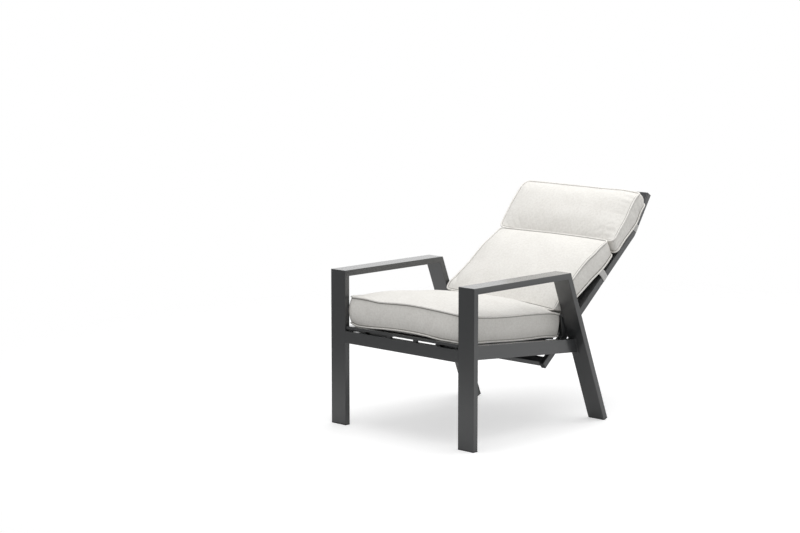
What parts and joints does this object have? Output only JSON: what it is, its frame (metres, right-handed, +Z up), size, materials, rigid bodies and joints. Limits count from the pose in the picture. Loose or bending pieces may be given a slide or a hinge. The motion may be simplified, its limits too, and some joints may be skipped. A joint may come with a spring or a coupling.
{
  "type": "reclining garden armchair",
  "caption": "Reclining garden armchair: flat box-tube side frames, a seat and a pivoting back on textile slings, loose piped cushions, a lockable gas spring and a release lever.",
  "frame": {"origin": "on the floor, under the middle of the chair's overall width and depth, with the back as the picture shows it", "axes": "+X towards the sitter's left, +Y towards the rear, +Z up"},
  "size_m": [0.73, 1.1462, 0.8512],
  "materials": {
    "anthracite_frame": "fine matt powder coat",
    "cushion_cloth": "off-white melange outdoor weave with piping",
    "sling_mesh": "dark coated textile mesh",
    "elastic_strap": "light grey woven elastic",
    "black_plastic": "moulded, fine grain",
    "grip_plastic": "soft ribbed grip",
    "bearing_plastic": "plain dark bearing plastic",
    "bright_steel": "zinc plated or ground steel",
    "black_steel": "black satin paint"
  },
  "bodies": {
    "base": {"left_front_leg": "anthracite_frame", "right_front_leg": "anthracite_frame", "left_armrest": "anthracite_frame", "right_armrest": "anthracite_frame", "left_rear_leg": "anthracite_frame", "right_rear_leg": "anthracite_frame", "left_front_foot": "black_plastic", "right_front_foot": "black_plastic", "left_rear_foot": "black_plastic", "right_rear_foot": "black_plastic", "front_rail": "anthracite_frame", "left_side_rail": "anthracite_frame", "right_side_rail": "anthracite_frame", "left_rail_plate": "anthracite_frame", "right_rail_plate": "anthracite_frame", "left_seat_bearer": "anthracite_frame", "right_seat_bearer": "anthracite_frame", "spring_cross_tube": "anthracite_frame", "seat_front_bar": "anthracite_frame", "left_seat_tube": "anthracite_frame", "right_seat_tube": "anthracite_frame", "seat_rear_bar": "anthracite_frame", "rear_cross_rail": "anthracite_frame", "left_bar_spacer": "anthracite_frame", "right_bar_spacer": "anthracite_frame", "front_seat_bolts": "bright_steel", "rear_seat_bolts": "bright_steel", "seat_sling": "sling_mesh", "pivot_bushes": "bearing_plastic", "pivot_washers": "bearing_plastic", "spring_front_bracket": "black_steel", "spring_front_studs": "bright_steel", "lever_bush": "bearing_plastic", "seat_cushion": "cushion_cloth"},
    "back": {"left_back_tube": "anthracite_frame", "right_back_tube": "anthracite_frame", "back_top_bar": "anthracite_frame", "back_lower_bar": "anthracite_frame", "back_middle_bar": "anthracite_frame", "back_sling": "sling_mesh", "left_back_cap": "black_plastic", "right_back_cap": "black_plastic", "left_hinge_plate": "anthracite_frame", "right_hinge_plate": "anthracite_frame", "pivot_pins": "bright_steel", "spring_clevis": "black_steel", "spring_clevis_pin": "bright_steel", "back_cushion": "cushion_cloth", "head_cushion": "cushion_cloth", "back_strap": "elastic_strap", "head_strap": "elastic_strap"},
    "spring_rod": {"gas_spring_rod": "bright_steel", "release_head": "black_steel"},
    "spring_cylinder": {"gas_spring_cylinder": "black_steel", "gas_spring_eye": "black_steel"},
    "release_lever": {"release_lever": "black_steel", "release_finger": "black_steel", "lever_grip": "grip_plastic"},
    "release_pin": {"release_pin": "bright_steel"}
  },
  "joints": [
    {"name": "back_recline", "type": "hinge", "parent": "base", "child": "back", "pos_m": [0, 0.02838, 0.423], "axis": [1, 0, 0], "range_deg": [0, 28]},
    {"name": "spring_swing", "type": "hinge", "parent": "base", "child": "spring_rod", "pos_m": [0, -0.21301, 0.33655], "axis": [1, 0, 0], "range_deg": [0, 8.84]},
    {"name": "spring_stroke", "type": "slide", "parent": "spring_rod", "child": "spring_cylinder", "axis": [0, 0.7833, -0.6216], "range_m": [0, 0.10362]},
    {"name": "release_lever_turn", "type": "hinge", "parent": "base", "child": "release_lever", "pos_m": [0, -0.25042, 0.31725], "axis": [-1, 0, 0], "range_deg": [0, 6], "stiffness_Nm_per_rad": 8},
    {"name": "release_pin_slide", "type": "slide", "parent": "spring_rod", "child": "release_pin", "axis": [0, 0.7833, -0.6216], "range_m": [0, 0.00422]}
  ],
  "couplings": [
    {"joint": "spring_swing", "follows": "back_recline", "ratio": 0.29777},
    {"joint": "spring_stroke", "follows": "back_recline", "m_per_rad": 0.20998},
    {"joint": "release_pin_slide", "follows": "release_lever_turn", "m_per_rad": 0.038371}
  ]
}
